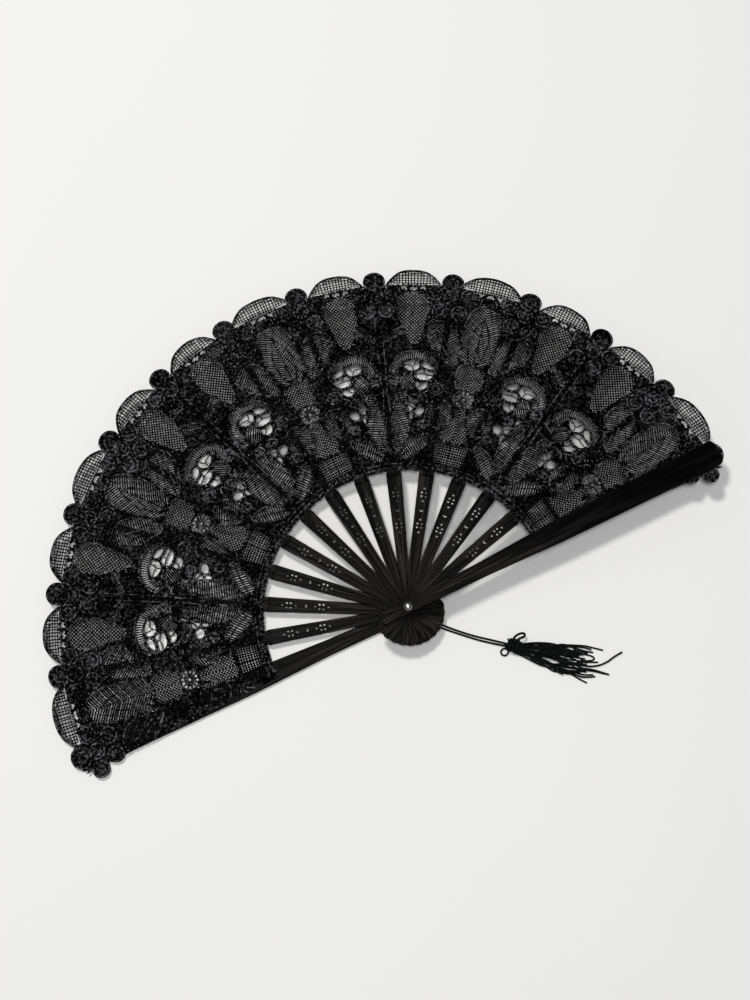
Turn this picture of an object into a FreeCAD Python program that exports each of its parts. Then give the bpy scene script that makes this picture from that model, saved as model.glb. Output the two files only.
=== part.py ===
import FreeCAD, Part

import math
import os

V = FreeCAD.Vector

# A folding hand fan of black lacquered wood and tape lace, opened flat on a table.
# Millimetres. The pivot rivet's axis is +Z and the table is the plane Z = 0. The rear guard lies
# lowest, the twelve ribs are stacked on it and the front guard is on top. The open fan is
# symmetric about +Y: the rear guard points to -X and the front guard to +X.

# ---- driving dimensions -----------------------------------------------------------------------
RIB_COUNT = 12
STEP_DEG = 13.65                      # angle from one stick to the next, fully open
REAR_DEG = 90 + STEP_DEG * (RIB_COUNT + 1) / 2

GUARD_LENGTH = 209.0                  # pivot to tip
GUARD_TAIL = 17.5                     # beyond the pivot
GUARD_THICK = 2.4
GUARD_EDGE = 0.4                      # rounding of the guards' top edges

RIB_THICK = 1.05                      # bare part of a rib
RIB_HEAD = 22.0                       # beyond the pivot
RIB_EDGE = 0.2
SLAT_THICK = 0.4                      # part of a rib behind the lace
SLAT_END = 196.5
SHOULDER = 82.5                       # where a rib steps down to its slat
STACK_STEP = 1.1                      # from one rib's underside to the next one's

LEAF_INNER = 84.5
LEAF_OUTER = 212.0
LACE_THICK = 0.25                     # strip glued on a stick
WEB_THICK = 0.23                      # strip that folds between two sticks
WEB_LIFT = 0.3                        # web above the top of the slat
END_STRIP_DEG = 2.7                   # lace beyond the axis of each guard

CORD_R = 0.55
CORD_GAP = 0.07                       # clearance of the cord under the first rib
FIRST_RIB_Z = GUARD_THICK + 2 * (CORD_R + CORD_GAP) + 0.01

PIN_R = 1.5
PIN_HOLE_R = 1.55
PIN_HEAD_R = 2.4
PIN_HEAD_HIGH = 1.35
WASHER_R = 3.0
WASHER_THICK = 0.3
COLLAR_R = 2.6
COLLAR_THICK = 0.6

DOT_R = 0.68                          # pierced dots of the ribs
DOT_ROWS = (0.0, -2.6, -4.9, -7.9)    # rows of a cluster: one dot, a pair, a pair, one dot
DOT_PAIR = 1.3                        # half the spacing of a pair
CLUSTER_TOPS = (73.5, 54.2)
MOON_AT = 60.0
MOON_R = 1.15

KNOT_AT = V(48.4, -45.6, 0)
KNOT_R = 4.9
KNOT_HIGH = 5.6

# Routes of the two strands of the tassel cord, from the loop round the rivet to the knot.
CORD_Z = GUARD_THICK + CORD_GAP + CORD_R
STRAND_A = (
    (1.55, 1.41, CORD_Z), (6.40, -4.80, CORD_Z), (11.80, -11.40, 1.45),
    (17.50, -18.00, 0.56), (28.60, -29.00, 0.55), (37.00, -35.70, 0.57), (45.20, -42.60, 1.10),
)
STRAND_B = (
    (-1.55, -1.41, CORD_Z), (4.20, -6.50, CORD_Z), (10.10, -12.60, 1.40),
    (16.10, -18.90, 0.56), (27.70, -30.20, 0.55), (35.30, -36.90, 0.57), (44.00, -43.40, 1.05),
)


# ---- shared shapes ----------------------------------------------------------------------------
def save(name, shape):
    os.makedirs("parts", exist_ok=True)
    shape.exportStep("parts/" + name + ".step")


def rounded_outline(upper):
    """Closed wire of an outline symmetric about X, from its upper corners (x, y, radius)."""
    corners = list(upper) + [(x, -y, r) for x, y, r in reversed(upper)]
    count = len(corners)
    arcs = []
    for i, (x, y, radius) in enumerate(corners):
        here = V(x, y, 0)
        back = (V(*corners[i - 1][:2], 0) - here).normalize()
        on = (V(*corners[(i + 1) % count][:2], 0) - here).normalize()
        half = back.getAngle(on) / 2
        inward = (back + on).normalize()
        reach = radius / math.tan(half)
        middle = here + inward * (radius / math.sin(half) - radius)
        arcs.append(Part.Arc(here + back * reach, middle, here + on * reach).toShape())
    edges = []
    for i, arc in enumerate(arcs):
        after = arcs[(i + 1) % count]
        edges += [arc, Part.LineSegment(arc.lastVertex().Point, after.firstVertex().Point).toShape()]
    return Part.Wire(edges)


def plate(outline, low, high):
    face = Part.Face(outline)
    face.translate(V(0, 0, low))
    return face.extrude(V(0, 0, high - low))


def round_top(solid, high, radius):
    """Rounds every edge that lies in the plane Z = high."""
    flat = [e for e in solid.Edges if all(abs(v.Z - high) < 1e-6 for v in e.Vertexes)]
    return solid.makeFillet(radius, flat)


def column(radius, low, high, x=0.0, y=0.0):
    return Part.makeCylinder(radius, high - low, V(x, y, low))


def turned(solid, angle_deg, lift=0.0):
    """A copy of a solid made along +X, turned to its angle and lifted to its place in the stack."""
    copy = solid.copy()
    copy.rotate(V(0, 0, 0), V(0, 0, 1), angle_deg)
    copy.translate(V(0, 0, lift))
    return copy


def ring_sector(inner, outer, low, high, from_deg, to_deg):
    def point(radius, angle):
        return V(radius * math.cos(math.radians(angle)), radius * math.sin(math.radians(angle)), low)

    middle = (from_deg + to_deg) / 2
    edges = [
        Part.LineSegment(point(inner, from_deg), point(outer, from_deg)).toShape(),
        Part.Arc(point(outer, from_deg), point(outer, middle), point(outer, to_deg)).toShape(),
        Part.LineSegment(point(outer, to_deg), point(inner, to_deg)).toShape(),
        Part.Arc(point(inner, to_deg), point(inner, middle), point(inner, from_deg)).toShape(),
    ]
    return Part.Face(Part.Wire(edges)).extrude(V(0, 0, high - low))


def cord(name, route, radius):
    """Tube of straight runs joined by tangent arcs along a route, as large as the runs allow."""
    points = [V(*p) for p in route]
    edges = []
    at = points[0]
    radii = []
    for i in range(1, len(points) - 1):
        here = points[i]
        back = points[i - 1] - here
        on = points[i + 1] - here
        reach = 0.45 * min(back.Length, on.Length)
        back.normalize()
        on.normalize()
        half_turn = (math.pi - back.getAngle(on)) / 2
        bend = reach / math.tan(half_turn)
        inward = (back + on).normalize()
        middle = here + inward * (bend / math.cos(half_turn) - bend)
        edges.append(Part.LineSegment(at, here + back * reach).toShape())
        edges.append(Part.Arc(here + back * reach, middle, here + on * reach).toShape())
        at = here + on * reach
        radii.append(bend)
    edges.append(Part.LineSegment(at, points[-1]).toShape())
    path = Part.Wire(edges)
    length = path.Length
    heading = points[1] - points[0]
    section = Part.Wire([Part.Circle(points[0], heading, radius).toShape()])
    tube = path.makePipeShell([section], True, False)
    share = tube.Volume / (math.pi * radius ** 2 * length)
    print(f"{name}: length {length:.1f} mm, volume / (section x length) {share:.4f}, radii",
          ", ".join(f"{r:.1f}" for r in radii))
    return tube


# ---- guards -----------------------------------------------------------------------------------
# Two solid outer sticks, widening to a round-cornered tip. The lace is glued on top of the rear
# guard and under the front guard, which is recessed for it.
GUARD_SIDE = (
    (-GUARD_TAIL, 3.6, 1.5), (0.0, 3.9, 200.0), (50.0, 4.5, 150.0),
    (100.0, 6.7, 200.0), (150.0, 7.5, 300.0), (GUARD_LENGTH, 7.8, 3.0),
)


def guard():
    blank = plate(rounded_outline(GUARD_SIDE), 0, GUARD_THICK)
    return round_top(blank, GUARD_THICK, GUARD_EDGE).cut(column(PIN_HOLE_R, -1, GUARD_THICK + 1))


def rear_guard():
    return guard().cut(column(COLLAR_R + 0.05, -1, COLLAR_THICK))


def front_guard():
    seat = Part.makeBox(GUARD_LENGTH, 40, LACE_THICK, V(LEAF_INNER - 1, -20, 0))
    return guard().cut(seat)


# ---- ribs -------------------------------------------------------------------------------------
# Twelve equal ribs: a round head, a bare pierced blade and a thin slat behind the lace.
RIB_SIDE = (
    (-RIB_HEAD, 4.5, 4.3), (-13.0, 4.5, 8.0), (-3.0, 3.25, 15.0), (33.0, 3.35, 100.0),
    (SHOULDER, 4.5, 1.5), (SHOULDER + 6, 2.3, 3.0), (SLAT_END, 1.8, 1.6),
)


def piercings():
    """Two clusters of six dots and the half moon between them."""
    holes = [column(PIN_HOLE_R, -1, RIB_THICK + 1)]
    for top in CLUSTER_TOPS:
        first, second, third, last = (top + row for row in DOT_ROWS)
        dots = [(first, 0), (last, 0)]
        dots += [(x, side * DOT_PAIR) for x in (second, third) for side in (-1, 1)]
        holes += [column(DOT_R, -1, RIB_THICK + 1, x, y) for x, y in dots]
    moon = column(MOON_R, -1, RIB_THICK + 1, MOON_AT)
    holes.append(moon.cut(column(MOON_R, -2, RIB_THICK + 2, MOON_AT + MOON_R)))
    return holes


def rib():
    blade = round_top(plate(rounded_outline(RIB_SIDE), 0, RIB_THICK), RIB_THICK, RIB_EDGE)
    ramp = Part.Wire(Part.makePolygon([
        V(SHOULDER - 2, -20, RIB_THICK), V(SHOULDER, -20, SLAT_THICK), V(SLAT_END + 5, -20, SLAT_THICK),
        V(SLAT_END + 5, -20, RIB_THICK + 1), V(SHOULDER - 2, -20, RIB_THICK + 1),
        V(SHOULDER - 2, -20, RIB_THICK),
    ]))
    step = Part.Face(ramp).extrude(V(0, 40, 0))
    return blade.cut([step] + piercings())


# ---- stack ------------------------------------------------------------------------------------
def stick_z(i):
    """Underside of stick i, where 1 is the first rib and RIB_COUNT + 1 the front guard."""
    return FIRST_RIB_Z + (i - 1) * STACK_STEP


def stick_deg(i):
    """Direction of stick i, where 0 is the rear guard."""
    return REAR_DEG - i * STEP_DEG


LAST = RIB_COUNT + 1
save("rear_guard", turned(rear_guard(), stick_deg(0)))
save("front_guard", turned(front_guard(), stick_deg(LAST), stick_z(LAST)))
one_rib = rib()
for i in range(1, LAST):
    save(f"rib_{i:02d}", turned(one_rib, stick_deg(i), stick_z(i)))

# ---- lace leaf --------------------------------------------------------------------------------
# The leaf folds along two creases between neighbouring sticks. A face strip is glued to each
# stick, and a web strip as wide as half the step folds between two faces.
QUARTER = STEP_DEG / 4
face_low = {0: GUARD_THICK, LAST: stick_z(LAST)}
face_side = {0: (-QUARTER, END_STRIP_DEG), LAST: (-END_STRIP_DEG, QUARTER)}
for i in range(LAST + 1):
    low = face_low.get(i, stick_z(i) + SLAT_THICK)
    near, far = face_side.get(i, (-QUARTER, QUARTER))
    strip = ring_sector(LEAF_INNER, LEAF_OUTER, low, low + LACE_THICK, near, far)
    save(f"leaf_face_{i:02d}", turned(strip, stick_deg(i)))
for i in range(LAST):
    low = stick_z(i) + SLAT_THICK + WEB_LIFT
    strip = ring_sector(LEAF_INNER, LEAF_OUTER, low, low + WEB_THICK, -QUARTER, QUARTER)
    save(f"leaf_web_{i:02d}", turned(strip, stick_deg(i + 0.5)))

# ---- rivet ------------------------------------------------------------------------------------
# A domed pin goes down through washer, front guard, ribs and rear guard, and is peened over a
# collar let into the rear guard's underside.
stack_top = stick_z(LAST) + GUARD_THICK
head_low = stack_top + WASHER_THICK + 0.05
dome_r = (PIN_HEAD_R ** 2 + PIN_HEAD_HIGH ** 2) / (2 * PIN_HEAD_HIGH)
dome = Part.makeSphere(dome_r, V(0, 0, head_low + PIN_HEAD_HIGH - dome_r))
dome = dome.common(column(PIN_HEAD_R + 1, head_low, head_low + PIN_HEAD_HIGH + 1))
save("rivet_pin", dome.fuse(column(PIN_R, 0, head_low + 0.2)).removeSplitter())
washer = column(WASHER_R, 0, WASHER_THICK).cut(column(PIN_HOLE_R, -1, 1))
save("rivet_washer", turned(washer, 0, stack_top + 0.025))
save("rivet_collar", column(COLLAR_R, 0, COLLAR_THICK).cut(column(PIN_HOLE_R, -1, 1)))

# ---- tassel -----------------------------------------------------------------------------------
# A doubled cord is hitched round the rivet between the rear guard and the first rib, runs out
# under the rib heads to the table and ends in a knot with two loops and a frayed skirt.
hitch_r = V(*STRAND_A[0][:2], 0).Length
behind = V(-STRAND_A[0][1], STRAND_A[0][0], 0).normalize() * hitch_r
bight = Part.Arc(V(*STRAND_A[0]), behind + V(0, 0, CORD_Z), V(*STRAND_B[0])).toShape()
hitch_section = Part.Wire([Part.Circle(V(*STRAND_A[0]), behind, CORD_R).toShape()])
save("tassel_hitch", Part.Wire([bight]).makePipeShell([hitch_section], True, False))
save("tassel_cord_a", cord("tassel_cord_a", STRAND_A, CORD_R))
save("tassel_cord_b", cord("tassel_cord_b", STRAND_B, CORD_R))

knot = column(KNOT_R, 0, KNOT_HIGH, KNOT_AT.x, KNOT_AT.y)
save("tassel_knot", knot.makeFillet(2.0, [e for e in knot.Edges if e.Length > 2 * KNOT_R * 3]))

EAR_LONG = 5.2                        # straight part of the ear loop
EAR_R = 1.7
ear_side = ((-EAR_R - EAR_LONG / 2, EAR_R, EAR_R * 0.95), (EAR_R + EAR_LONG / 2, EAR_R, EAR_R * 0.95))
ear_hole = ((-EAR_LONG / 2, EAR_R / 3, 0.4), (EAR_LONG / 2, EAR_R / 3, 0.4))
ear = plate(rounded_outline(ear_side), 0, 2 * CORD_R).cut(plate(rounded_outline(ear_hole), -1, 3))
ear.rotate(V(0, 0, 0), V(0, 0, 1), -8)
ear.translate(V(52.6, -42.2, 3.6))
save("tassel_ear_loop", ear)

save("tassel_eye_loop", Part.makeTorus(2.2, CORD_R, V(41.3, -45.9, CORD_R)))


def skirt_section(x, y, wide, high, heading_deg):
    across = V(-math.sin(math.radians(heading_deg)), math.cos(math.radians(heading_deg)), 0)
    middle = V(x, y, 0)
    lift = V(0, 0, high)
    low_a, low_b = middle - across * (wide / 2), middle + across * (wide / 2)
    return Part.makePolygon([low_a, low_b, low_b + lift, low_a + lift, low_a])


SKIRT = (
    (51.3, -49.2, 8.0, 5.0, -38), (70.3, -64.4, 18.0, 3.4, -37), (88.0, -76.8, 19.5, 2.4, -36),
)
skirt = Part.makeLoft([skirt_section(*s) for s in SKIRT], True, True)
save("tassel_skirt", skirt)
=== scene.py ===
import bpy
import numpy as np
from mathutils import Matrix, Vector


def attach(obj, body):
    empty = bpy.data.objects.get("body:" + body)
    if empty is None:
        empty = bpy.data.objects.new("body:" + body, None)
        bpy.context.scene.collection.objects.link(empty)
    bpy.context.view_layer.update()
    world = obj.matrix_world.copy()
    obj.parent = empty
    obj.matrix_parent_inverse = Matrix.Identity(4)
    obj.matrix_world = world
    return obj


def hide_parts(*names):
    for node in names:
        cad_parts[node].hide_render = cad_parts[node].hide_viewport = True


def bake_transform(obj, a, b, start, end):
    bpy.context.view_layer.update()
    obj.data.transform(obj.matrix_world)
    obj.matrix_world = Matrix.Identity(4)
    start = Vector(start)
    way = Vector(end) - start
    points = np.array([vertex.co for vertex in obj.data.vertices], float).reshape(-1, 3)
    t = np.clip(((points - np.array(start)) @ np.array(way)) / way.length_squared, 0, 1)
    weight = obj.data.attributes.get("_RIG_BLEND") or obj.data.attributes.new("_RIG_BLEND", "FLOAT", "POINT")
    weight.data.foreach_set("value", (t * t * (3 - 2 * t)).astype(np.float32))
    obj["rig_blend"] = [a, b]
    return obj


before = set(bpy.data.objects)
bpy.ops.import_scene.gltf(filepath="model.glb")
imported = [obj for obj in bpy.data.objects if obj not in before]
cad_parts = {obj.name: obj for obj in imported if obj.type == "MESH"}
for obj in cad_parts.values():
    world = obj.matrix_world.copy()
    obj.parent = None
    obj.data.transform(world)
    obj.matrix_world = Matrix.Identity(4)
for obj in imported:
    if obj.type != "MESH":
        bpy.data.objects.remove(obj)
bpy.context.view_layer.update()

import math
import random

import bmesh
import bpy
from mathutils import Matrix, Vector, noise

MM = 0.001

# ---- table, light and viewpoint ---------------------------------------------------------------
# The open fan lies on a seamless pale table under one large soft lamp from the upper left, with
# weak fill all round, and is seen from above, turned so that its rear guard points down to the left.
TURN = math.radians(26.0)             # how far the fan is turned on the picture
EYE = Vector((-42.3, -208.9, 1000.0)) * MM
LOOK = Vector((-19.0, 66.9, 8.0)) * MM


def on_table(x, y, z):
    """A point given along the picture's edges, turned into the fan's own directions."""
    return Matrix.Rotation(-TURN, 3, "Z") @ Vector((x, y, z))


camera_data = bpy.data.cameras.new("camera")
camera_data.sensor_fit = "VERTICAL"
camera_data.sensor_height = 36.0
camera_data.lens = 1728.2 * 36.0 / 1000.0
camera = bpy.data.objects.new("camera", camera_data)
bpy.context.collection.objects.link(camera)
eye, look = on_table(*EYE), on_table(*LOOK)
back = (eye - look).normalized()
right = on_table(0.0, 1.0, 0.0).cross(back).normalized()
up = back.cross(right)
camera.matrix_world = Matrix((
    (right.x, up.x, back.x, eye.x), (right.y, up.y, back.y, eye.y),
    (right.z, up.z, back.z, eye.z), (0, 0, 0, 1),
))
bpy.context.scene.camera = camera


def soft_lamp(name, place, aim, size, watts, tint):
    data = bpy.data.lights.new(name, "AREA")
    data.shape = "DISK"
    data.size = size
    data.energy = watts
    data.color = tint
    lamp = bpy.data.objects.new(name, data)
    lamp.location = on_table(*place)
    lamp.rotation_euler = (on_table(*aim) - lamp.location).to_track_quat("-Z", "Y").to_euler()
    bpy.context.collection.objects.link(lamp)


soft_lamp("key_lamp", (-0.85, 1.05, 2.6), (0, 0, 0), 0.50, 27.0, (1.0, 0.99, 0.965))
soft_lamp("top_lamp", (-0.22, -0.60, 3.2), (-0.5, 1.2, 0), 0.8, 38.0, (1.0, 0.995, 0.985))
world = bpy.data.worlds.new("room")
bpy.context.scene.world = world
world.use_nodes = True
world.node_tree.nodes["Background"].inputs["Color"].default_value = (0.97, 0.98, 1.0, 1)
world.node_tree.nodes["Background"].inputs["Strength"].default_value = 0.14
bpy.context.scene.view_settings.view_transform = "Standard"
bpy.context.scene.view_settings.look = "High Contrast"


class Value:
    """A shader socket that takes part in sums: an expression on values adds its Math nodes."""

    def __init__(self, paint, socket):
        self.paint = paint
        self.socket = socket

    def _sum(self, operation, *terms):
        return self.paint.node("ShaderNodeMath", {"operation": operation},
                               dict(enumerate(terms)), "Value")

    def __add__(self, other):
        return self._sum("ADD", self, other)

    def __radd__(self, other):
        return self._sum("ADD", other, self)

    def __sub__(self, other):
        return self._sum("SUBTRACT", self, other)

    def __rsub__(self, other):
        return self._sum("SUBTRACT", other, self)

    def __mul__(self, other):
        return self._sum("MULTIPLY", self, other)

    def __rmul__(self, other):
        return self._sum("MULTIPLY", other, self)

    def __truediv__(self, other):
        return self._sum("DIVIDE", self, other)


class Paint:
    """A finish made of nodes: one material and the ways to fill it."""

    def __init__(self, name, **constants):
        self.material = bpy.data.materials.new(name)
        self.material.use_nodes = True
        self.tree = self.material.node_tree
        self.shader = self.tree.nodes["Principled BSDF"]
        for socket, value in constants.items():
            self.shader.inputs[socket.replace("_", " ")].default_value = value

    def node(self, kind, settings=None, sockets=None, output=0):
        made = self.tree.nodes.new(kind)
        for key, value in (settings or {}).items():
            if key == "stops":
                ramp = made.color_ramp
                while len(ramp.elements) < len(value):
                    ramp.elements.new(0.5)
                for element, (position, colour) in zip(ramp.elements, value):
                    element.position = position
                    element.color = colour
            else:
                setattr(made, key, value)
        for key, value in (sockets or {}).items():
            if isinstance(value, Value):
                self.tree.links.new(value.socket, made.inputs[key])
            else:
                made.inputs[key].default_value = value
        return Value(self, made.outputs[output])

    def place(self, stretch=(1, 1, 1), turn=(0, 0, 0)):
        """The piece's own coordinates, stretched and turned."""
        own = self.node("ShaderNodeTexCoord", output="Object")
        return self.node("ShaderNodeMapping", sockets={"Vector": own, "Scale": stretch, "Rotation": turn})

    def noise(self, scale, detail=3.0, rough=0.5, at=None):
        return self.node("ShaderNodeTexNoise", sockets={
            "Vector": at or self.place(), "Scale": scale, "Detail": detail, "Roughness": rough}, output="Fac")

    def mix(self, share, first, second):
        """Colour between two colours."""
        return self.node("ShaderNodeMix", {"data_type": "RGBA"}, {0: share, 6: first, 7: second}, 2)

    def within(self, value, low, high, to_low=0.0, to_high=1.0):
        return self.node("ShaderNodeMapRange", sockets={
            "Value": value, "From Min": low, "From Max": high, "To Min": to_low, "To Max": to_high})

    def drive(self, socket, value):
        self.tree.links.new(value.socket, self.shader.inputs[socket])

    def bump(self, height, distance, strength=1.0):
        """Relief of the surface, from a height between 0 and 1 and its depth in metres."""
        made = self.node("ShaderNodeBump", sockets={
            "Height": height, "Distance": distance, "Strength": strength})
        self.drive("Normal", made)


floor_paint = Paint("pale_table", Roughness=0.85, Specular_IOR_Level=0.2)
cloudy = floor_paint.noise(1.6, 2.0)
floor_paint.drive("Base Color", floor_paint.mix(cloudy, (0.80, 0.80, 0.805, 1), (0.84, 0.84, 0.84, 1)))
floor_mesh = bpy.data.meshes.new("table_top")
sheet = bmesh.new()
bmesh.ops.create_grid(sheet, x_segments=1, y_segments=1, size=6.0)
sheet.to_mesh(floor_mesh)
sheet.free()
floor = bpy.data.objects.new("table_top", floor_mesh)
floor.location.z = -0.0002
floor_mesh.materials.append(floor_paint.material)
bpy.context.collection.objects.link(floor)

# ---- sticks, guards and rivet -----------------------------------------------------------------
# Fourteen thin wooden sticks in black satin lacquer: twelve pierced ribs between two thicker
# guards. They turn on one steel rivet, with a domed head, a dark washer and a collar underneath.
STICKS = ["rear_guard"] + [f"rib_{i:02d}" for i in range(1, 13)] + ["front_guard"]

wood_paint = Paint("black_lacquered_wood", Roughness=0.42, Specular_IOR_Level=0.10)
own = wood_paint.node("ShaderNodeTexCoord", output="Object")
split = wood_paint.node("ShaderNodeSeparateXYZ", sockets={"Vector": own})
x_of, y_of, z_of = (Value(wood_paint, split.socket.node.outputs[k]) for k in range(3))
bearing = wood_paint.node("ShaderNodeMath", {"operation": "ARCTAN2"}, {0: y_of, 1: x_of})
reach = wood_paint.node("ShaderNodeVectorMath", {"operation": "LENGTH"}, {0: own}, "Value")
along_grain = wood_paint.node("ShaderNodeCombineXYZ", sockets={
    "X": reach * 9.0, "Y": bearing * 17.0, "Z": z_of * 500.0})
grain = wood_paint.noise(2.2, 5.0, 0.62, along_grain)
handled = wood_paint.noise(38.0, 3.0)
warmth = wood_paint.within(reach, 0.03, 0.14, 1.0, 0.15)
streak = wood_paint.within(grain, 0.45, 0.72) * warmth
black = wood_paint.mix(streak, (0.0016, 0.0016, 0.0018, 1), (0.0600, 0.0600, 0.0620, 1))
warm = wood_paint.mix(streak, (0.0060, 0.0050, 0.0044, 1), (0.0950, 0.0840, 0.0770, 1))
wood_paint.drive("Base Color", wood_paint.mix(warmth * handled, black, warm))
wood_paint.drive("Roughness", wood_paint.within(grain * 0.6 + handled * 0.4, 0.3, 0.7, 0.30, 0.54))
wood_paint.bump(grain, 0.00035, 0.8)

metal_paint = Paint("nickelled_steel", Metallic=1.0)
scuffs = metal_paint.noise(1500.0, 3.0)
metal_paint.drive("Base Color", metal_paint.mix(scuffs, (0.66, 0.62, 0.56, 1), (0.90, 0.87, 0.82, 1)))
metal_paint.drive("Roughness", metal_paint.within(scuffs, 0.3, 0.7, 0.12, 0.30))

washer_paint = Paint("blackened_steel", Metallic=0.6)
film = washer_paint.noise(1100.0, 3.0)
washer_paint.drive("Base Color", washer_paint.mix(film, (0.010, 0.009, 0.008, 1), (0.040, 0.034, 0.028, 1)))
washer_paint.drive("Roughness", washer_paint.within(film, 0.3, 0.7, 0.35, 0.6))

for names, paint in ((STICKS, wood_paint), (["rivet_pin", "rivet_collar"], metal_paint),
                     (["rivet_washer"], washer_paint)):
    for name in names:
        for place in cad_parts[name].material_slots:
            place.material = paint.material

# ---- tassel cord ------------------------------------------------------------------------------
# Two strands of one twisted rayon cord, hitched round the rivet between the rear guard and the
# first rib. They run out side by side under the rib heads to the table and into the knot.
CORD_D = 1.1 * MM
CORD_Z = 3.02
STRANDS = {
    "tassel_cord_a": (
        (1.55, 1.41, CORD_Z), (6.40, -4.80, CORD_Z), (11.80, -11.40, 1.45),
        (17.50, -18.00, 0.56), (28.60, -29.00, 0.55), (37.00, -35.70, 0.57), (45.20, -42.60, 1.10),
    ),
    "tassel_cord_b": (
        (-1.55, -1.41, CORD_Z), (4.20, -6.50, CORD_Z), (10.10, -12.60, 1.40),
        (16.10, -18.90, 0.56), (27.70, -30.20, 0.55), (35.30, -36.90, 0.57), (44.00, -43.40, 1.05),
    ),
}


def curve_through(name, routes, radius, cyclic=False, fineness=8, round_steps=2, straight=False):
    """One curve object with a spline for each route, given in metres: smooth, or straight runs."""
    data = bpy.data.curves.new(name, "CURVE")
    data.dimensions = "3D"
    data.bevel_depth = radius
    data.bevel_resolution = round_steps
    data.resolution_u = fineness
    data.use_fill_caps = True
    for route in routes:
        spline = data.splines.new("POLY" if straight else "NURBS")
        spline.points.add(len(route) - 1)
        for point, place in zip(spline.points, route):
            point.co = (*place, 1.0)
        spline.use_cyclic_u = cyclic
        spline.order_u = 3
        spline.use_endpoint_u = not cyclic
    made = bpy.data.objects.new(name, data)
    bpy.context.collection.objects.link(made)
    return made


thread_paint = Paint("twisted_black_rayon", Roughness=0.5, Specular_IOR_Level=0.16)
strand_wave = thread_paint.node("ShaderNodeTexWave", {"wave_type": "BANDS", "bands_direction": "DIAGONAL"}, {
    "Vector": thread_paint.place(), "Scale": 420.0, "Distortion": 1.5, "Detail": 2.0}, "Fac")
thread_tone = thread_paint.noise(260.0, 3.0)
thread_paint.drive("Base Color", thread_paint.mix(
    strand_wave * 0.6 + thread_tone * 0.4, (0.0035, 0.0040, 0.0042, 1), (0.020, 0.023, 0.024, 1)))
thread_paint.drive("Roughness", thread_paint.within(thread_tone, 0.3, 0.7, 0.42, 0.62))
thread_paint.bump(strand_wave, 0.00012, 0.8)

# ---- tassel -----------------------------------------------------------------------------------
# The cord's ends are knotted into a lumpy knot with one flattened loop and one small round loop
# standing out of it, and the skirt is a spray of loose cords, fanned out and frayed on the table.
thread_dice = random.Random(11)


def on_rear(piece, replaced):
    """A piece of the tassel lies with the rear guard and stands for a CAD part."""
    piece.data.materials.append(thread_paint.material)
    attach(piece, "rear_guard")
    if replaced:
        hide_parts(replaced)


def lift_off_table(route, least):
    return [Vector((place.x, place.y, max(place.z, least))) for place in route]


knot_start, knot_end = Vector((44.6, -42.2, 2.9)), Vector((51.6, -49.0, 2.5))
knot_axis = (knot_end - knot_start).normalized()
knot_side = Vector((0, 0, 1)).cross(knot_axis)
wraps = []
for turns, lean, start in ((6.5, 0.9, 0.0), (4.0, -2.2, 2.0)):
    wrap = []
    steps = int(turns * 8)
    for k in range(steps + 1):
        share = k / steps
        angle = start + 2 * math.pi * turns * share
        swell = 2.0 + 1.3 * math.sin(math.pi * min(1.0, share * 1.08)) + thread_dice.uniform(-0.25, 0.25)
        middle = knot_start.lerp(knot_end, share) + knot_axis * lean * 0.5 * math.sin(angle)
        wrap.append(middle + knot_side * swell * 1.25 * math.cos(angle)
                    + Vector((0, 0, 1)) * swell * 0.86 * math.sin(angle))
    wraps.append([place * MM for place in lift_off_table(wrap, 0.58)])
on_rear(curve_through("tassel_knot_wraps", wraps, 0.58 * MM, round_steps=2, fineness=3), "tassel_knot")

ear = [(46.6, -43.6, 3.9), (49.2, -41.3, 4.4), (52.4, -40.4, 4.3), (55.4, -40.8, 4.0), (56.5, -42.0, 3.9),
       (55.4, -43.3, 4.0), (52.0, -42.9, 4.4), (48.2, -44.0, 4.2)]
on_rear(curve_through("tassel_ear", [[Vector(p) * MM for p in ear]], 0.62 * MM, cyclic=True, round_steps=3),
        "tassel_ear_loop")
eye = [(41.3 + 2.35 * math.cos(k * math.pi / 4), -45.95 + 2.2 * math.sin(k * math.pi / 4), 0.62) for k in range(8)]
on_rear(curve_through("tassel_eye", [[Vector(p) * MM for p in eye]], 0.5 * MM, cyclic=True, round_steps=3),
        "tassel_eye_loop")

upper_edge = [(48.6, -44.6), (54.6, -46.6), (63.6, -51.0), (74.0, -57.0), (83.5, -63.2), (90.0, -69.0)]
lower_edge = [(45.8, -48.9), (50.4, -53.4), (56.4, -61.6), (63.4, -70.0), (71.2, -76.4), (78.4, -81.6)]


def between_edges(share, down):
    """A place in the skirt: share across it from its upper to its lower edge, down its length."""
    at = min(down, 0.999) * (len(upper_edge) - 1)
    i = int(at)
    upper_place = Vector(upper_edge[i]).lerp(Vector(upper_edge[i + 1]), at - i)
    lower_place = Vector(lower_edge[i]).lerp(Vector(lower_edge[i + 1]), at - i)
    return upper_place.lerp(lower_place, share)


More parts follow.
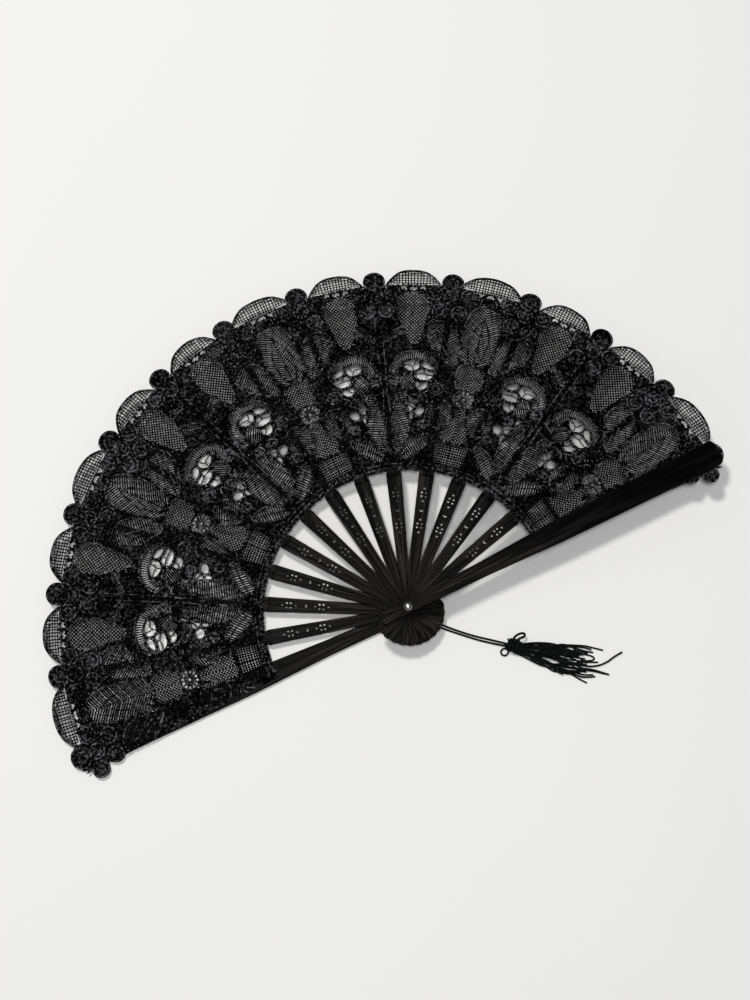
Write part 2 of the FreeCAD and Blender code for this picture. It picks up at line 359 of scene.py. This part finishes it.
strands = []
for n in range(30):
    share = (n + 0.5) / 30
    stop = thread_dice.uniform(0.66, 0.98)
    swing = thread_dice.uniform(-0.16, 0.16)
    high = thread_dice.uniform(0.0, 1.0)
    wave = thread_dice.uniform(6.0, 13.0)
    route = []
    for k in range(12):
        down = stop * k / 11
        wander = swing * math.sin(down * wave) + thread_dice.uniform(-0.05, 0.05)
        place = between_edges(min(max(share + wander * min(1, down * 3), -0.02), 1.02), down)
        pile = (1 - down) ** 1.3 * (1.0 + 3.2 * high * math.sin(math.pi * share)) * 1.05
        route.append(Vector((place.x, place.y, 0.5 + pile + (0.5 if n % 3 == 0 else 0.0))) * MM)
    strands.append(route)
loose_ends = [
    [(60.0, -53.0, 1.8), (70.0, -55.0, 1.0), (84.5, -62.4, 0.7), (88.5, -65.5, 0.6), (94.0, -70.2, 0.5)],
    [(62.0, -56.0, 1.8), (73.0, -62.4, 1.0), (80.8, -66.0, 0.7), (86.4, -70.0, 0.6), (87.6, -72.8, 0.6),
     (83.6, -72.6, 0.6), (79.4, -69.8, 0.5)],
    [(60.0, -58.0, 1.8), (70.0, -64.5, 1.0), (76.9, -68.6, 0.6), (82.1, -72.4, 0.5), (88.0, -75.2, 0.5)],
    [(58.0, -63.0, 1.6), (69.9, -73.3, 0.6), (72.9, -78.6, 0.5), (76.4, -83.2, 0.5)],
    [(60.0, -63.0, 1.6), (71.7, -75.1, 1.2), (75.6, -79.6, 0.6), (82.5, -82.0, 0.5)],
    [(62.0, -65.0, 1.4), (71.0, -73.1, 1.6), (76.6, -78.6, 1.2), (82.0, -80.6, 0.6)],
]
strands += [[Vector(place) * MM for place in route] for route in loose_ends]
on_rear(curve_through("tassel_strands", strands, 0.46 * MM, round_steps=1, fineness=4), "tassel_skirt")

longest = [
    [(51.9, -50.2, 2.4), (66.0, -63.3, 2.2), (78.8, -73.4, 1.3), (86.0, -77.1, 0.6), (93.1, -77.6, 0.55),
     (98.4, -76.3, 0.55), (103.7, -76.1, 0.55)],
    [(62.0, -64.0, 1.6), (74.6, -72.9, 0.8), (80.6, -76.0, 0.6), (85.0, -79.2, 0.55), (90.4, -84.6, 0.55)],
    [(62.0, -64.0, 1.2), (75.4, -74.3, 1.4), (83.0, -78.2, 0.55), (88.6, -83.2, 0.55)],
]
routes = [[Vector(place) * MM for place in route] for route in longest]
on_rear(curve_through("tassel_long_ends", routes, 0.52 * MM, round_steps=2), "tassel_skirt")

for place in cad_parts["tassel_hitch"].material_slots:
    place.material = thread_paint.material

for name, route in STRANDS.items():
    strand = curve_through(name + "_thread", [[Vector(p) * MM for p in route]], CORD_D / 2, round_steps=4)
    strand.data.materials.append(thread_paint.material)
    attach(strand, "rear_guard")
    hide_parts(name)

# ---- lace leaf --------------------------------------------------------------------------------
# Black machine lace glued along its fourteen sticks and folding between them: a fine net ground
# with petals, scrolls and rosettes outlined in cord, ladders and openwork. One flower spans three
# gaps and is symmetric, so half of it is worked once, then sliced at the creases and laid round.
STEP_DEG = 13.65                      # between neighbouring sticks
REAR_DEG = 178.725                    # the rear guard's direction
CREASE = STEP_DEG / 4                 # from a stick's middle line to the crease beside it
STICK_TURN = STEP_DEG / 2             # from the flower's middle line to the stick beside it
HALF_FLOWER = 1.5 * STEP_DEG          # to the middle line between two flowers
LEAF_IN, LEAF_OUT = 84.6, 203.4       # the ground, without border and scallops
NET_THICK = 0.14
CORD_HIGH = 0.15                      # how high a cord's middle lies in the lace


def spot(turn, radius, lift=0.0):
    """A place on the lace: degrees clockwise from the flower's middle, mm from the rivet and up."""
    angle = -math.radians(turn)
    return Vector((radius * math.cos(angle), radius * math.sin(angle), lift)) * MM


def across(line, about=0.0):
    """The same line on the other side of a middle line."""
    return [(2 * about - turn, radius) for turn, radius in reversed(line)]


def ring(turn, radius, wide, high, points=8):
    """Corners of a round or oval, with its half width along the arc and half height in mm."""
    corners = []
    for k in range(points):
        angle = 2 * math.pi * k / points
        corners.append((turn + math.degrees(wide * math.sin(angle) / radius), radius + high * math.cos(angle)))
    return corners


def rounded(corners, steps=3):
    """The smooth closed line that a cord makes round these corners."""
    line = []
    count = len(corners)
    for i in range(count):
        a, b, c = (Vector(corners[(i + k) % count]) for k in (-1, 0, 1))
        start, end = (a + b) / 2, (b + c) / 2
        for k in range(steps):
            t = k / steps
            line.append(tuple(start * (1 - t) ** 2 + b * (2 * t * (1 - t)) + end * t ** 2))
    return line


def inside(outline, turn, radius):
    hit = False
    for (ta, ra), (tb, rb) in zip(outline, outline[1:] + outline[:1]):
        if (ra > radius) != (rb > radius) and turn < ta + (tb - ta) * (radius - ra) / (rb - ra):
            hit = not hit
    return hit


dice = random.Random(5)


def threads(outline, lean, pitch):
    """Parallel threads from edge to edge of an outline, leaning so many degrees from the arc."""
    middle = sum(radius for _, radius in outline) / len(outline)
    degree = math.radians(middle)
    along = Vector((math.cos(math.radians(lean)), math.sin(math.radians(lean))))
    side = Vector((-along.y, along.x))
    flat = [Vector((turn * degree, radius)) for turn, radius in outline]
    runs = []
    at = min(corner.dot(side) for corner in flat) + pitch / 2
    while at < max(corner.dot(side) for corner in flat):
        cuts = []
        for p, q in zip(flat, flat[1:] + flat[:1]):
            before, after = p.dot(side) - at, q.dot(side) - at
            if (before > 0) != (after > 0):
                cuts.append((p + (q - p) * before / (before - after)).dot(along))
        cuts.sort()
        for start, end in zip(cuts[::2], cuts[1::2]):
            steps = 1 + int((end - start) / 5.0)
            places = [side * at + along * (start + (end - start) * k / steps) for k in range(steps + 1)]
            runs.append([(place.x / degree, place.y) for place in places])
        at += pitch * dice.uniform(0.85, 1.2)
    return runs


def ladder(left, right, count):
    """Rungs between two lines."""
    runs = []
    for k in range(count):
        ends = []
        for line in (left, right):
            at = k / (count - 1) * (len(line) - 1)
            i = min(int(at), len(line) - 2)
            ends.append(tuple(Vector(line[i]).lerp(Vector(line[i + 1]), at - i)))
        runs.append(ends)
    return runs


# The flower from the outer edge inwards, each corner in degrees from its middle line and mm
tall_half = [(0.0, 195.5), (2.2, 193.0), (3.5, 183.0), (3.6, 170.0), (3.1, 158.0), (1.2, 154.6)]
TALL_PETAL = rounded(tall_half + across(tall_half[1:]))
vein_half = [(0.0, 186.0), (1.2, 181.0), (2.0, 172.0), (1.8, 162.0), (0.9, 156.4)]
TALL_LADDER = rounded(vein_half + across(vein_half[1:]))
SIDE_PETAL = rounded([(3.7, 152.6), (3.5, 163.0), (4.6, 177.0), (8.4, 182.4), (11.0, 175.6), (10.2, 165.0),
                      (7.7, 158.4), (5.6, 153.0)])
SIDE_LADDER = rounded([(5.3, 154.0), (6.4, 160.6), (8.3, 168.6), (9.2, 176.6), (10.4, 173.6), (9.8, 166.0),
                       (7.8, 159.8), (6.0, 154.6)])
barrel_half = [(1.6, 155.2), (3.1, 153.0), (3.4, 146.0), (2.8, 139.4), (1.2, 138.4)]
BARREL = rounded(barrel_half + across(barrel_half))
WHEEL = rounded(ring(0.0, 132.9, 6.4, 5.9, 10))
LOBE = rounded(ring(5.9, 121.2, 7.9, 9.6, 10))
LOBE_HEART = rounded(ring(6.1, 120.4, 3.2, 4.8))
bell_half = [(1.0, 128.0), (2.0, 119.0), (4.1, 111.4), (4.0, 105.4), (1.8, 104.2)]
BELL = rounded(bell_half + across(bell_half))
PATCH = [(-6.4, 89.6), (-6.2, 103.6), (6.2, 103.6), (6.4, 89.6)]
WING = rounded([(7.6, 108.6), (11.4, 106.4), (15.6, 102.6), (18.6, 91.0), (14.6, 90.6), (11.0, 95.6), (7.4, 104.0)])
SPEAR = rounded([(20.0, 93.6), (15.4, 101.0), (13.8, 112.0), (14.8, 126.0), (16.9, 137.0), (19.2, 122.0)])
FEATHER = rounded([(19.5, 94.0), (19.2, 118.0), (20.475, 145.0), (21.75, 118.0), (21.45, 94.0)])
ARCH = [(7.4, 149.0), (8.4, 154.6), (10.4, 158.8), (13.2, 160.8), (16.4, 158.8), (18.6, 151.6), (19.5, 139.0)]
ARCH_IN = [(8.3, 148.0), (9.0, 151.6), (10.8, 154.2), (13.4, 155.0), (15.8, 153.0), (17.1, 147.0), (17.2, 137.6)]
SCALLOP_F = [(-5.6, 203.8), (-4.2, 209.6), (-1.8, 213.4), (1.8, 213.4), (4.2, 209.6), (5.6, 203.8)]
SCALLOP_S = [(9.0, 203.6), (10.1, 208.6), (12.0, 212.5), (15.3, 212.5), (17.2, 208.6), (18.3, 203.6)]
NET_PANEL = rounded([(10.6, 198.8), (16.7, 198.8), (16.5, 184.0), (15.4, 171.0), (13.5, 162.6), (11.8, 169.0),
                     (10.9, 184.0)])
OPENWORK = [rounded(corners) for corners in (
    [(8.2, 148.4), (8.5, 152.2), (10.3, 154.6), (11.6, 153.4), (11.4, 149.6), (9.9, 148.2)],
    [(11.7, 149.6), (11.9, 153.8), (13.6, 155.2), (15.4, 153.8), (15.9, 150.4), (14.6, 147.2), (12.8, 146.8)],
    [(15.9, 152.4), (17.2, 151.0), (17.6, 145.6), (17.1, 141.0), (16.5, 146.6)],
    [(8.0, 147.4), (10.0, 147.0), (11.5, 148.8), (12.7, 146.6), (12.6, 142.2), (11.0, 140.8), (8.9, 141.6)],
    [(9.5, 140.4), (11.1, 139.6), (12.7, 141.2), (12.9, 137.2), (11.7, 134.4), (9.9, 136.0)],
    [(14.7, 132.0), (16.3, 134.2), (17.9, 130.4), (17.0, 125.8), (15.3, 127.4)],
    [(13.0, 127.4), (14.8, 127.2), (16.4, 124.8), (15.4, 120.8), (13.4, 121.6), (12.6, 124.4)],
    [(9.8, 124.8), (12.2, 125.2), (13.0, 121.6), (12.2, 118.6), (10.0, 119.8)],
    [(12.9, 121.2), (14.9, 120.8), (14.8, 116.6), (13.0, 116.0)],
)]
INNER_LOBE = rounded(ring(14.7, 140.2, 4.6, 5.8))

# Rosettes: where, and their half width and half height in mm
cluster = [(0.0, 205.9, 7.0, 6.3), (0.0, 196.6, 5.0, 5.2), (-3.05, 198.4, 5.3, 5.2), (3.05, 198.4, 5.3, 5.2),
           (-1.8, 187.0, 5.2, 5.2), (1.8, 187.0, 5.2, 5.2)]
ROSETTES = [(middle + turn, *rest) for middle in (STICK_TURN, HALF_FLOWER) for turn, *rest in cluster]
ROSETTES += [(7.5, 136.6, 5.0, 4.3), (12.7, 129.8, 4.2, 3.3), (10.0, 113.6, 3.2, 3.2), (18.7, 143.0, 2.9, 3.4)]
ROSETTE_RIMS = [rounded(ring(turn, radius, wide * 0.95, high * 0.95)) for turn, radius, wide, high in ROSETTES]


BAND = rounded([(15.4, 176.6), (17.6, 173.4), (19.7, 168.6), (19.4, 165.0), (17.3, 169.6), (15.2, 172.6)])
ARCH_BAND = ARCH + ARCH_IN[::-1]
RIBBED = ((TALL_PETAL, 32.0, 1.35), (SIDE_PETAL, -38.0, 1.35), (LOBE, 28.0, 1.35), (WING, 62.0, 1.4),
          (SPEAR, -12.0, 1.4), (FEATHER, 0.0, 1.4), (BAND, 60.0, 1.3), (INNER_LOBE, -50.0, 1.3))


def opening(turn, radius):
    """How much of a mesh of the ground stays open here: 0 is worked solid, None is no ground at all."""
    if any(inside(shape, turn, radius) for shape in (NET_PANEL, PATCH, WHEEL, ARCH_BAND, *OPENWORK, *ROSETTE_RIMS,
                                                     *(shape for shape, _, _ in RIBBED))):
        return None
    if 200.3 < radius < 202.3 and min(abs(turn - at) for at in (0, 1.6, STEP_DEG - 1.6, STEP_DEG,
                                                                STEP_DEG + 1.6)) < 0.5:
        return None
    if inside(BARREL, turn, radius) or inside(BELL, turn, radius):
        return 0.45
    return dice.choice((0, 0, 0, 0, 0.32))


def panel_opening(turn, radius):
    return dice.choice((0.36, 0.44, 0.50)) if inside(NET_PANEL, turn, radius) else None


def net(mesh, cell, tilt, how_open):
    """Works a net of square meshes, turned by tilt degrees, wherever how_open says so."""
    made = bmesh.new()
    count = int(190.0 / cell)
    bmesh.ops.create_grid(made, x_segments=count, y_segments=count, size=count * cell / 2 * MM,
                          matrix=Matrix.Translation(spot(HALF_FLOWER / 2, 148.0))
                          @ Matrix.Rotation(math.radians(tilt), 4, "Z"))
    groups = {}
    for square in made.faces:
        middle = square.calc_center_median()
        radius = middle.length / MM
        turn = -math.degrees(math.atan2(middle.y, middle.x))
        share = None
        if LEAF_IN < radius < LEAF_OUT and -0.8 < turn < HALF_FLOWER + 0.8:
            share = how_open(turn, radius)
        groups.setdefault(share, []).append(square)
    bmesh.ops.delete(made, geom=groups.pop(None), context="FACES")
    groups.pop(0, None)
    for share, squares in groups.items():
        bmesh.ops.inset_individual(made, faces=squares, thickness=cell * (1 - share) / 2 * MM)
        bmesh.ops.delete(made, geom=squares, context="FACES_ONLY")
    bmesh.ops.recalc_face_normals(made, faces=made.faces)
    bmesh.ops.solidify(made, geom=made.faces[:], thickness=NET_THICK * MM)
    lowest = min(corner.co.z for corner in made.verts)
    for corner in made.verts:
        corner.co.z += 0.03 * MM - lowest
    join(mesh, made)


def join(mesh, part, slot=0):
    """Adds a part's mesh to another one."""
    data = bpy.data.meshes.new("part")
    for face in part.faces:
        face.material_index = slot
    part.to_mesh(data)
    part.free()
    mesh.from_mesh(data)
    bpy.data.meshes.remove(data)


def lay(mesh, lines, radius, high=CORD_HIGH, cyclic=False, fineness=3, round_steps=1, flat=0.62, slot=1,
        straight=False):
    """Lays cords along lines of (degrees, mm) on the lace, pressed a little flat."""
    routes = [[spot(*place) for place in line] for line in lines]
    cord = curve_through("cord", routes, radius * MM, cyclic, fineness, round_steps, straight)
    data = bpy.data.meshes.new_from_object(cord)
    curve = cord.data
    bpy.data.objects.remove(cord)
    bpy.data.curves.remove(curve)
    data.transform(Matrix.Translation((0, 0, high * MM)) @ Matrix.Diagonal((1, 1, flat, 1)))
    part = bmesh.new()
    part.from_mesh(data)
    bpy.data.meshes.remove(data)
    bmesh.ops.remove_doubles(part, verts=part.verts, dist=1e-6)
    join(mesh, part, slot)



ground_paint = Paint("black_lace_ground", Roughness=0.5, Specular_IOR_Level=0.03)
cord_paint = Paint("black_lace_cord", Roughness=0.4, Specular_IOR_Level=0.10)
for paint, light, start in ((ground_paint, 0.080, 0.50), (cord_paint, 0.210, 0.45)):
    yarn = paint.noise(620.0, 2.0, 0.6)
    patches = paint.noise(90.0, 2.0)
    # painted highlight: the threads are near black, and the paler flecks where the yarn and patch noise run high
    # stand in for glints off the silky thread
    painted_glint = paint.within(yarn * 0.75 + patches * 0.25, start, start + 0.20)
    paint.drive("Base Color", paint.mix(painted_glint, (0.0008, 0.0008, 0.0010, 1), (light, light, light * 1.06, 1)))
    paint.drive("Roughness", paint.within(yarn, 0.35, 0.65, 0.62, 0.30))
    paint.bump(yarn, 0.00022, 0.7)


def weave(mesh, lines, radius, high=CORD_HIGH):
    """Lays fine threads, which belong to the ground."""
    lay(mesh, lines, radius, high, round_steps=0, slot=0, straight=True)


ground = bmesh.new()
net(ground, 1.45, 45.0, opening)
net(ground, 1.55, 45.0 - STEP_DEG, panel_opening)
# fine threads: ladders, the square net by the border, the scallops, and the ribs across each petal
weave(ground, threads(PATCH, 0.0, 1.5), 0.36)
weave(ground, threads(PATCH, 90.0, 1.4), 0.26)
for edge in (SCALLOP_F, SCALLOP_S):
    filled = rounded(edge, 4)
    weave(ground, threads(filled, 90.0, 1.8), 0.30)
    weave(ground, threads(filled, 0.0, 1.7), 0.24)
weave(ground, ladder(ARCH, ARCH_IN, 34), 0.32)
for shape, lean, pitch in RIBBED:
    weave(ground, threads(shape, lean, pitch), 0.40)
    lay(ground, threads(shape, lean + 80.0, 3.4), 0.24, 0.2, round_steps=0, straight=True)
spokes = [[near, far] for near, far in zip(ring(0.0, 132.9, 1.0, 1.0, 12), ring(0.0, 132.9, 6.3, 5.8, 12))]
lay(ground, spokes, 0.5, round_steps=1, straight=True)
# openwork: open cells, each whipped round with cord, with a bar across the larger ones
lay(ground, OPENWORK, 0.38, cyclic=True, fineness=2)
lay(ground, [[(13.2, 146.4), (13.4, 150.2), (14.4, 151.2), (15.9, 151.0)], [(13.4, 150.2), (12.6, 152.0), (13.0, 155.4)],
             [(8.0, 144.6), (9.8, 144.4), (10.8, 145.8), (12.7, 145.0)], [(10.8, 145.8), (10.6, 147.8)],
             [(12.8, 123.4), (14.2, 124.4), (14.8, 127.4)], [(11.4, 140.4), (11.2, 137.6), (12.6, 136.6)]],
    0.36, fineness=2)
# outlines
lay(ground, [TALL_PETAL, SIDE_PETAL, BARREL, WHEEL, LOBE, BELL, WING, SPEAR, FEATHER, BAND], 0.55, 0.19,
    cyclic=True, fineness=2)
lay(ground, [LOBE_HEART, TALL_LADDER, SIDE_LADDER, INNER_LOBE, rounded(ring(0.0, 132.9, 3.4, 3.2))], 0.40, 0.18, cyclic=True,
    fineness=2)
lay(ground, [[(0.0, 154.0), (0.0, 170.0), (0.0, 187.0)], [(19.9, 182.0), (19.7, 155.0), (19.9, 127.0)],
             [(16.8, 133.0), (16.6, 112.0), (19.0, 95.0)], [(8.2, 106.4), (12.6, 100.6), (17.6, 92.0)],
             [(4.4, 155.0), (6.2, 166.0), (8.6, 177.0)]], 0.36, 0.19)
lay(ground, [ARCH, ARCH_IN], 0.5, 0.19)
lay(ground, [SCALLOP_F, SCALLOP_S], 0.75, 0.2)
low_F = [(turn * 0.93, radius - 2.2 * math.cos(turn / 4)) for turn, radius in SCALLOP_F]
low_S = [(STEP_DEG + (turn - STEP_DEG) * 0.93, radius - 2.2 * math.cos((turn - STEP_DEG) / 4))
         for turn, radius in SCALLOP_S]
lay(ground, [low_F, low_S], 0.26, 0.18)
lay(ground, [[(-6.0, 203.6), (0.0, 203.2), (6.0, 203.6)], [(8.0, 203.4), (13.65, 203.0), (19.4, 203.4)],
             [(-4.2, 199.3), (0.0, 199.3), (4.2, 199.3)], [(9.4, 199.3), (13.65, 199.3), (17.8, 199.3)]],
    0.4, 0.18)

def work_rosettes(mesh, places):
    """Rosettes: a thin worked disc under a rim, an inner ring and spokes, with a knot in the middle."""
    for turn, radius, wide, high in places:
        disc = bmesh.new()
        bmesh.ops.create_circle(disc, cap_ends=True, segments=18, radius=MM)
        bmesh.ops.solidify(disc, geom=disc.faces[:], thickness=-0.10 * MM)
        bmesh.ops.scale(disc, vec=(high * 0.84, wide * 0.84, 1), verts=disc.verts)
        bmesh.ops.create_uvsphere(disc, u_segments=8, v_segments=4, radius=0.9 * MM,
                                  matrix=Matrix.Translation((0, 0, 0.17 * MM)) @ Matrix.Diagonal((1, 1, 0.18, 1)))
        disc.transform(Matrix.Translation(spot(turn, radius, 0.03)) @ Matrix.Rotation(-math.radians(turn), 4, "Z"))
        join(mesh, disc)
        lay(mesh, [ring(turn, radius, wide - 0.5, high - 0.5, 12)], 0.58, 0.18, cyclic=True, fineness=2, flat=0.32)
        lay(mesh, [ring(turn, radius, wide * 0.5, high * 0.5, 8)], 0.36, 0.18, cyclic=True, fineness=2, flat=0.45)
        spokes = [[near, far] for near, far in zip(ring(turn, radius, wide * 0.12, high * 0.12, 18),
                                                   ring(turn, radius, wide * 0.9, high * 0.9, 18))]
        lay(mesh, spokes, 0.24, 0.16, round_steps=0, straight=True)


blooms = bmesh.new()
work_rosettes(blooms, ROSETTES)
end_blooms = bmesh.new()
work_rosettes(end_blooms, [place for place in ROSETTES if abs(place[0] - STICK_TURN) < 3.1 and place[1] > 130])

# border along the sticks: two cords crossing each other over a straight one, with picots below
turns = [-0.6 + k * 0.3 for k in range(76)]
lay(ground, [[(turn, 86.3 + 0.75 * math.cos(math.pi * k + phase)) for k, turn in enumerate(turns[::2])]
             for phase in (0, math.pi)], 0.42, 0.17, fineness=3)
lay(ground, [[(turn, 88.9) for turn in turns[::5]]], 0.4, 0.17)
lay(ground, [[(turn, 84.25), (turn + 0.1, 85.9)] for turn in turns[::2]], 0.3, 0.15, round_steps=0, straight=True)


def slice_between(low, high, *sheets):
    """The lace between two creases, its cut threads closed; None leaves a side uncut."""
    part = bmesh.new()
    for sheet_mesh in sheets:
        data = bpy.data.meshes.new("part")
        sheet_mesh.to_mesh(data)
        part.from_mesh(data)
        bpy.data.meshes.remove(data)
    for turn, sign in ((low, -1), (high, 1)):
        if turn is None:
            continue
        angle = math.radians(turn)
        outward = Vector((-math.sin(angle), -math.cos(angle), 0)) * sign
        cut = bmesh.ops.bisect_plane(part, geom=part.verts[:] + part.edges[:] + part.faces[:], dist=1e-8,
                                     plane_co=(0, 0, 0), plane_no=outward, clear_outer=True)
        rim = [edge for edge in cut["geom_cut"] if isinstance(edge, bmesh.types.BMEdge)]
        bmesh.ops.holes_fill(part, edges=rim, sides=0)
    return part


def doubled(part, about):
    """A part and its mirror image on the other side of a middle line."""
    bmesh.ops.rotate(part, verts=part.verts, matrix=Matrix.Rotation(math.radians(about), 3, "Z"))
    bmesh.ops.mirror(part, geom=part.verts[:] + part.edges[:] + part.faces[:], axis="Y", merge_dist=-1)
    bmesh.ops.rotate(part, verts=part.verts, matrix=Matrix.Rotation(-math.radians(about), 3, "Z"))
    return part


FACE_LIFT = 0.41                      # above the stick's own level
WEB_LIFT = 0.36                       # how far the folding part stands over the part that is glued
PITCH = 1.1                           # from one stick's level to the next
GUARD_SIDE = 2.7                      # degrees of lace beyond a guard's middle line


def stick_turn(i):
    return REAR_DEG - STEP_DEG * i


def stick_level(i):
    return 3.65 + (i - 1) * PITCH


# The four kinds of slice, then each is laid in its places
PLAIN = CREASE, STICK_TURN + CREASE, STICK_TURN + STEP_DEG - CREASE
slices = {
    "flower_web": doubled(slice_between(0.0, PLAIN[0], ground, blooms), 0.0),
    "beside": slice_between(PLAIN[0], PLAIN[1], ground, blooms),
    "panel_web": slice_between(PLAIN[1], PLAIN[2], ground, blooms),
    "between": doubled(slice_between(PLAIN[2], HALF_FLOWER, ground, blooms), HALF_FLOWER),
    "end": slice_between(PLAIN[0], STICK_TURN + GUARD_SIDE, ground),
}
at_end = slice_between(PLAIN[0], None, end_blooms)
data = bpy.data.meshes.new("part")
at_end.to_mesh(data)
slices["end"].from_mesh(data)
bpy.data.meshes.remove(data)

for kind, part in slices.items():
    for slot in (0, 1):
        edge = sum(e.calc_length() for e in part.edges if len([f for f in e.link_faces if f.material_index == slot]) == 1)
        area = sum(f.calc_area() for f in part.faces if f.material_index == slot)
        print("SLICE", kind, slot, "open edge mm", round(edge * 1000), "area share", round(area / 2 / 0.00226, 2), "faces", len(part.faces))


def laid(kind, flower, flipped=False):
    """A copy of one slice, turned to the flower it belongs to and mirrored where it has to be."""
    copy = slices[kind].copy()
    if flipped:
        bmesh.ops.scale(copy, vec=(1, -1, 1), verts=copy.verts)
        bmesh.ops.reverse_faces(copy, faces=copy.faces[:])
    copy.transform(Matrix.Rotation(math.radians(REAR_DEG - STEP_DEG * (flower + 0.5)), 4, "Z"))
    return copy


def worked(name, part, slot, replaced=None):
    """One piece of the leaf: the faces of one material slot out of a laid slice."""
    copy = part.copy()
    others = [face for face in copy.faces if face.material_index != slot]
    bmesh.ops.delete(copy, geom=others, context="FACES")
    for face in copy.faces:
        face.material_index = 0
    data = bpy.data.meshes.new(name)
    copy.to_mesh(data)
    copy.free()
    data.materials.append((ground_paint, cord_paint)[slot].material)
    piece = bpy.data.objects.new(name, data)
    bpy.context.collection.objects.link(piece)
    if replaced:
        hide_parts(replaced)
    return piece


def both(number, part, replaced):
    """The net and the cordwork on it, as two pieces that move alike."""
    for corner in part.verts:
        drift = noise.noise_vector(corner.co * 130.0) * 0.22 * MM
        corner.co += Vector((drift.x, drift.y, 0))
    bmesh.ops.recalc_face_normals(part, faces=part.faces)
    relief = worked(f"lace_{number}_cordwork", part, 1)
    base = worked(f"lace_{number}", part, 0, replaced)
    part.free()
    return base, relief


for i, stick in enumerate(STICKS):
    if i % 3 == 2:
        part = laid("between", i - 2)
    else:
        kind = "end" if i in (0, 13) else "beside"
        part = laid(kind, i - 1 if i % 3 == 1 else i, i % 3 == 0)
    lift = stick_level(i) + FACE_LIFT
    if i == 0:
        lift = 2.42
    part.transform(Matrix.Translation((0, 0, lift * MM)))
    for piece in both(f"face_{i:02d}", part, f"leaf_face_{i:02d}"):
        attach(piece, stick)

for i, (stick, following) in enumerate(zip(STICKS, STICKS[1:])):
    if i % 3 == 0:
        part = laid("flower_web", i)
    else:
        part = laid("panel_web", i - 1 if i % 3 == 1 else i + 1, i % 3 == 2)
    for corner in part.verts:
        turn = stick_turn(i) - math.degrees(math.atan2(corner.co.y, corner.co.x)) % 360
        share = min(max((turn - CREASE) / (2 * CREASE), 0.0), 1.0)
        rise = min(share / 0.09, 1.0) * WEB_LIFT + max(share - 0.75, 0.0) / 0.25 * (PITCH - WEB_LIFT)
        corner.co.z += (stick_level(i) + FACE_LIFT + rise) * MM
    heading = math.radians(stick_turn(i) - CREASE)
    leaving = math.radians(stick_turn(i) - 3 * CREASE)
    for piece in both(f"web_{i:02d}", part, f"leaf_web_{i:02d}"):
        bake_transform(piece, stick, following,
                 start=(0.15 * math.cos(heading), 0.15 * math.sin(heading), stick_level(i) * MM),
                 end=(0.15 * math.cos(leaving), 0.15 * math.sin(leaving), stick_level(i) * MM))
        weights = piece.data.attributes["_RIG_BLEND"]
        for corner, weight in zip(piece.data.vertices, weights.data):
            turn = stick_turn(i) - math.degrees(math.atan2(corner.co.y, corner.co.x)) % 360
            weight.value = min(max((turn - CREASE) / (2 * CREASE), 0.0), 1.0)
